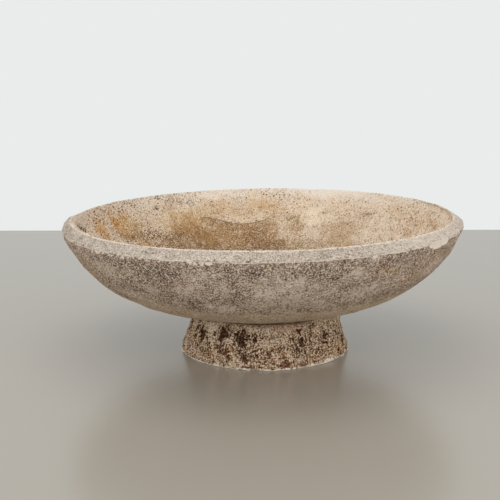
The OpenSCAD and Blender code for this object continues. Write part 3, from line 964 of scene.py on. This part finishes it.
# each spot: azimuth, height over the floor, half width, half height, strength, in degrees and mm
foot["marks"] = {
    "growth": [
        (8, 50, 6, 14, 0.6), (30, 66, 7, 18, 0.8), (75, 70, 6, 16, 0.7), (100, 40, 7, 14, 0.6),
        (140, 68, 7, 18, 0.85), (172, 58, 5, 18, 0.6), (190, 66, 4, 18, 0.6), (207, 53, 2.4, 6, 0.6),
        (207.3, 76, 2, 13, 0.75), (212, 84, 3, 5, 0.4), (214, 38, 9, 13, 0.3), (215.5, 68, 3.8, 10, 0.8),
        (216.5, 53, 2.2, 7, 0.65), (220, 35, 1.6, 4, 0.45), (223, 59, 1.2, 5, 0.5), (225.5, 45, 1.4, 4, 0.5),
        (229.5, 72, 1.6, 6, 0.5), (236, 66, 2.6, 5, 0.8), (237, 45, 3, 7, 0.45), (237, 78, 2.8, 12, 0.95),
        (239, 74, 1.8, 6, 1), (243, 78, 1.6, 7, 0.5), (248.5, 64, 1.2, 5, 0.5), (248.5, 80, 2, 8, 0.8),
        (250, 63, 1.6, 4, 0.8), (252, 68, 3.4, 9, 1), (252.3, 80, 2.2, 9, 0.95), (252.5, 43, 2.6, 3, 0.65),
        (253, 90, 1.4, 3, 0.6), (254, 60, 1.8, 7, 1), (255.5, 31, 1.8, 8, 0.6), (255.5, 50, 4, 7, 0.48),
        (256.5, 72, 1.6, 7, 0.8), (258, 22, 1.4, 6, 0.6), (259.5, 80, 1.2, 3, 0.5), (260, 34, 1.6, 5, 0.55),
        (262.3, 74, 1.4, 9, 0.8), (262.8, 44, 1.2, 3, 0.65), (264, 33, 1.2, 5, 0.55),
        (264.8, 58, 0.9, 3, 0.45), (268.3, 79, 0.8, 4, 0.5), (278, 76, 0.9, 3, 0.45), (281, 50, 4, 7, 0.42),
        (281.3, 71, 0.9, 3, 0.45), (290, 70, 2.4, 3, 0.6), (291.5, 59, 1.6, 3, 0.55), (291.8, 36, 1, 5, 0.5),
        (293.3, 46, 1.2, 4, 0.75), (294.8, 85, 1.8, 4, 0.7), (295.3, 60, 1.6, 3, 0.9), (296, 78, 1, 5, 0.5),
        (296.5, 66, 1.6, 5, 0.9), (297.5, 53, 1.8, 4, 0.65), (298, 31, 4, 8, 0.45), (299, 61, 2.2, 6, 0.5),
        (303.5, 68, 2, 6, 0.45), (305.2, 80, 0.9, 4, 0.6), (316, 49, 1.2, 3, 0.8), (318.5, 61, 2.4, 6, 0.85),
        (318.8, 47, 1.4, 3, 0.85), (319, 70, 1.4, 6, 0.6), (321.5, 64, 1.8, 3, 0.85), (322, 76, 1.2, 4, 0.45),
        (322, 92, 1.2, 3, 0.5), (325.5, 43, 1.4, 4, 0.5), (329, 75, 1.4, 2.5, 0.5), (332.8, 56, 1.2, 3, 0.6),
        (333, 56, 8, 22, 0.3), (334.3, 63, 1.8, 3.5, 0.85), (343, 36, 2.5, 14, 0.6),
    ],
    "red": [
        (60, 20, 8, 8, 0.5), (150, 24, 8, 8, 0.5), (234, 46, 2, 8, 0.45), (237.5, 44, 3, 12, 0.5),
        (241.5, 34, 2.8, 7, 0.6), (243.5, 24, 1.6, 3, 0.5), (255.5, 34, 2.6, 7, 0.5), (257, 8, 2.4, 3, 0.5),
        (272.5, 41, 2.4, 4, 0.6), (275.5, 46, 2.2, 5, 0.55), (280.4, 12, 1.6, 4, 1), (283, 13, 3.4, 6.8, 1.2),
        (295.6, 9, 2, 5, 0.55), (296, 44, 1.8, 6, 0.4),
    ],
    "pale": [
        (46, 60, 9, 22, 0.5), (118, 66, 9, 18, 0.5), (213, 27, 5, 7, 0.4), (227, 78, 4, 8, 0.5),
        (227, 86, 7, 12, 0.95), (229, 66, 4, 14, 0.8), (243.5, 66, 3, 14, 0.5), (250, 14, 5, 8, 0.6),
        (260, 55, 3, 10, 0.5), (262, 14, 6, 7, 0.4), (268, 88, 8, 9, 0.7), (270, 66, 5, 14, 0.5),
        (280, 68, 7, 12, 0.45), (308, 54, 3, 10, 0.2), (320, 95, 5, 6, 0.6), (340, 34, 5, 14, 0.4),
    ],
    "pink": [
        (212, 42, 6, 8, 0.3), (256, 10, 4, 6, 0.35), (279, 52, 7, 7, 0.35), (284, 93, 12, 9, 0.7),
        (295, 97, 6, 5, 0.6), (313, 80, 3.5, 6, 0.5),
    ],
    "grey": [
        (237, 44, 3.5, 7, 0.4), (251, 49, 5, 6, 0.4), (264, 52, 4, 6, 0.35), (300, 84, 4, 8, 0.3),
        (304, 72, 5, 12, 0.5), (305, 40, 6, 16, 0.55), (321, 42, 5, 9, 0.5),
    ],
    "yellow": [
        (210, 44, 8, 14, 0.45), (228, 26, 6, 7, 0.5), (246, 52, 3, 10, 0.4), (285, 40, 6, 8, 0.3),
        (302, 24, 5, 12, 0.45), (320, 34, 5, 8, 0.35), (330, 24, 8, 18, 0.6), (340, 40, 6, 26, 0.5),
    ],
    "fresh": [(303, 3, 4, 4, 0.9), (318, 5, 7, 5, 1)],
}
foot["paint"] = {
    "ground": (165, 138, 109), "pale": (202, 186, 163), "pink": (186, 151, 128), "yellow": (176, 138, 90),
    "grey": (124, 101, 78), "brown": (136, 92, 62),
}


def footSection():
    # a straight wall that leans in over its height, with worn outer corners
    lean = np.radians(foot["lean"])
    r, h, wear = foot["radius"], foot["height"], foot["wear"]
    top = r - h * np.tan(lean)
    level = foot["wall"] / np.cos(lean)
    low = np.array([r - wear / np.tan(np.pi / 4 - lean / 2), wear])
    high = np.array([top - wear / np.tan(np.pi / 4 + lean / 2), h - wear])
    facing = np.pi / 2 + lean
    out = np.array([np.sin(facing), -np.cos(facing)])
    parts = [
        straight((r - level, 0), (low[0], 0), 8),
        bend(low, wear, 0, facing, 4),
        straight(low + wear * out, high + wear * out, 52),
        bend(high, wear, facing, np.pi, 3),
        straight((high[0], h), (top - level, h), 8),
        straight((top - level, h), (r - level, 0), 12),
    ]
    return np.concatenate([p[0] for p in parts]), np.concatenate([p[1] for p in parts])


def footValues(points, azimuth):
    # what the skin carries: its colours, how coarse it looks, growth, red spots and fresh edges
    height = points[..., 2] * 1000
    mid, fine = waves(points, 0.024, 41), waves(points, 0.009, 42, 48)
    edge = 0.4 * mid + 0.8 * fine

    def marked(title, softness=0.5):
        return patch(azimuth, height, edge, foot["marks"][title], softness)

    pads = {title: marked(title) for title in ("grey", "yellow", "pink", "pale")}
    tint = lay(ground(points, foot["paint"]["ground"]), foot["paint"], [
        ("grey", 0.5 * soft(0.1, 1.4, mid + 0.7 * fine)),
        ("pale", 0.55 * soft(0.1, 1.4, -mid + 0.7 * fine)),
        ("brown", 0.55 * soft(0.0, 1.3, waves(points, 0.016, 43)) * soft(78, 40, height)),
        *pads.items(),
    ])
    fair = np.maximum(pads["pale"], pads["pink"])
    red = marked("red", 0.6) * 1.6
    # dark growth sits in clots where a patch says so, and in loose dots elsewhere
    spots = [(a, h, w * 1.2, d * 1.2, k) for a, h, w, d, k in foot["marks"]["growth"]]
    growth = patch(azimuth, height, edge, spots, 0.6) * 1.15
    growth = np.maximum(growth, (0.23 + 0.07 * mid) * (1 - 0.6 * fair)) * soft(2, 8, height)
    fresh = 1.5 * soft(5.5, 1.6, height + 0.9 * fine + 0.6 * mid)
    fresh = np.maximum(fresh, 0.8 * marked("fresh"))
    covered = np.maximum(soft(0.4, 0.8, growth), 0.8 * soft(0.3, 0.9, red))
    coarse = 1.1 - 0.6 * np.clip(fresh, 0, 1) - 0.95 * covered - 0.3 * fair - 0.25 * soft(82, 92, height)
    coarse = np.clip(coarse, 0.08, 1.2)
    return {"tint": tint, "coarse": coarse, "growth": growth, "red": red, "fresh": fresh}


def makeFoot():
    # as the bowl: lumps, less what the growth has eaten, pits and the chips along the base; then the
    # top is pushed a little to +X, and more so the higher a point lies
    section, normals = footSection()
    places, outward, azimuth = turned(section, normals, foot["columns"])
    rng = np.random.default_rng(7)
    relief = lumpy(places, foot["lumps"], 50)
    values = footValues(places, azimuth)
    relief -= foot["growthDepth"] * values["growth"]
    rows = rng.integers(*foot["pitRows"], foot["pits"])
    columns = rng.integers(0, foot["columns"], foot["pits"])
    radii = rng.uniform(*foot["pitRadius"], foot["pits"])
    depths = radii * rng.uniform(*foot["pitDepth"], foot["pits"])
    relief -= hollows(places, places[rows, columns], radii, depths)
    # the base edge is chipped all round, and the two flat faces stay flat
    z = places[..., 2]
    chipped = np.clip(0.8 + waves(places, 0.022, 61) + 0.6 * waves(places, 0.009, 62), 0, 3)
    outerSide = np.hypot(places[..., 0], places[..., 1]) > foot["radius"] - foot["chipReach"]
    byFloor = np.clip(1 - z / foot["chipHeight"], 0, 1)
    relief -= np.where(outerSide, foot["chipDepth"] * chipped * byFloor, 0)
    flat = (outward[..., 2] < -0.99) | ((outward[..., 2] > 0.9) & (z > foot["height"] - 0.0005))
    relief = np.where(flat, 0, relief)
    moved = places + outward * relief[..., None]
    moved[..., 0] += foot["aside"] * moved[..., 2] / foot["height"]
    moved[..., 2] = np.maximum(moved[..., 2], 0)
    piece = ringMesh("foot_skin", moved, values, footConcrete)
    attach(piece, "foot")
    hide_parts("foot")


makeFoot()
print("foot")

bed = {
    "inner": 0.1533, "outer": 0.1769,
    "gap": 0.0004, "thinnest": 0.0015,
    "proud": 0.0012,  # how far the mortar stands beyond outer, all round
    "smears": ((229, 8, 0.0030), (321, 7, 0.0028), (100, 30, 0.002)),  # azimuth, half width, how far proud
    "open": (275, 48, 0.0086),  # the joint gapes here: azimuth, half width, how much at the edge
    "uneven": 0.0005, "roughEdge": 0.0007,
    "columns": 720, "rows": 16,
}
bed["paint"] = {
    "ground": (176, 158, 138), "dark": (146, 128, 108), "pale": (206, 192, 172), "smear": (232, 223, 208),
    "open": (112, 76, 44),
}


def makeBed():
    # flat below, and above as the leaning bowl's underside; towards the outer edge of the near side the
    # mortar falls away and leaves the joint open, and beside that it is squeezed out
    share = np.linspace(0, 1, bed["rows"])[:, None]
    azimuth = np.arange(bed["columns"])[None, :] * 360 / bed["columns"]
    spill = sum(proud * np.exp(-2 * (apart(azimuth, a) / w) ** 2) for a, w, proud in bed["smears"])
    outer = bed["outer"] + bed["proud"] + spill
    out, back = bed["inner"] + (outer - bed["inner"]) * share, outer + (bed["inner"] - outer) * share
    radius = np.concatenate([out, back])
    outward = np.concatenate([share, 1 - share]) + 0 * radius
    turn = np.radians(azimuth) + 0 * radius
    x, y = radius * np.cos(turn), radius * np.sin(turn)
    flat = 0 * x

    # the underside of the bowl above (x, y), leaning as the bowl leans
    _, low, _ = bowlArcs()
    angle = np.radians(bowl["lean"])
    across = (x + foot["aside"] - bowl["aside"]) * np.cos(angle)
    under = bowlLow + low - np.sqrt(low**2 - across**2 - y**2) + across * np.sin(angle)
    middle, half, gape = bed["open"]
    rough = waves(np.stack([x, y, flat], -1), 0.02, 71)
    opened = 1 - soft(half - 5, half, np.abs(apart(azimuth, middle)) + 1.5 * rough)
    opened = gape * opened * soft(0.45, 0.85, outward)
    uneven = bed["uneven"] * np.abs(waves(np.stack([x, y, under], -1), 0.012, 72))
    top = under - bed["gap"] - opened * (1 + 0.12 * rough) - uneven
    upper = np.arange(2 * bed["rows"])[:, None] >= bed["rows"]
    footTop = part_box("foot")[1].z
    z = np.where(upper, np.maximum(top, footTop + bed["thinnest"]), footTop)
    push = bed["roughEdge"] * waves(np.stack([x, y, z], -1), 0.012, 73) * soft(0.9, 1.0, outward)
    places = np.stack([x + push * np.cos(turn) + foot["aside"], y + push * np.sin(turn), z], -1)

    mid, fine = waves(places, 0.02, 74), waves(places, 0.008, 75)
    tint = lay(ground(places, bed["paint"]["ground"]), bed["paint"], [
        ("dark", 0.6 * soft(0, 1.5, mid + 0.4 * fine)),
        ("pale", 0.6 * soft(0.2, 1.5, -mid + 0.4 * fine)),
        ("smear", 0.85 * np.clip(spill / 0.003, 0, 1) + flat),
        # painted shade and dirt on the mortar's face where the joint stands open
        ("open", 0.9 * soft(0.1, 0.5, opened / gape) * soft(0.0010, 0.0018, z - footTop) * upper),
    ])
    piece = ringMesh("mortar_skin", places, {"tint": tint, "coarse": 0.7 + flat}, bedMortar)
    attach(piece, "foot")
    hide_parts("mortar_bed")


makeBed()
print("mortar bed")
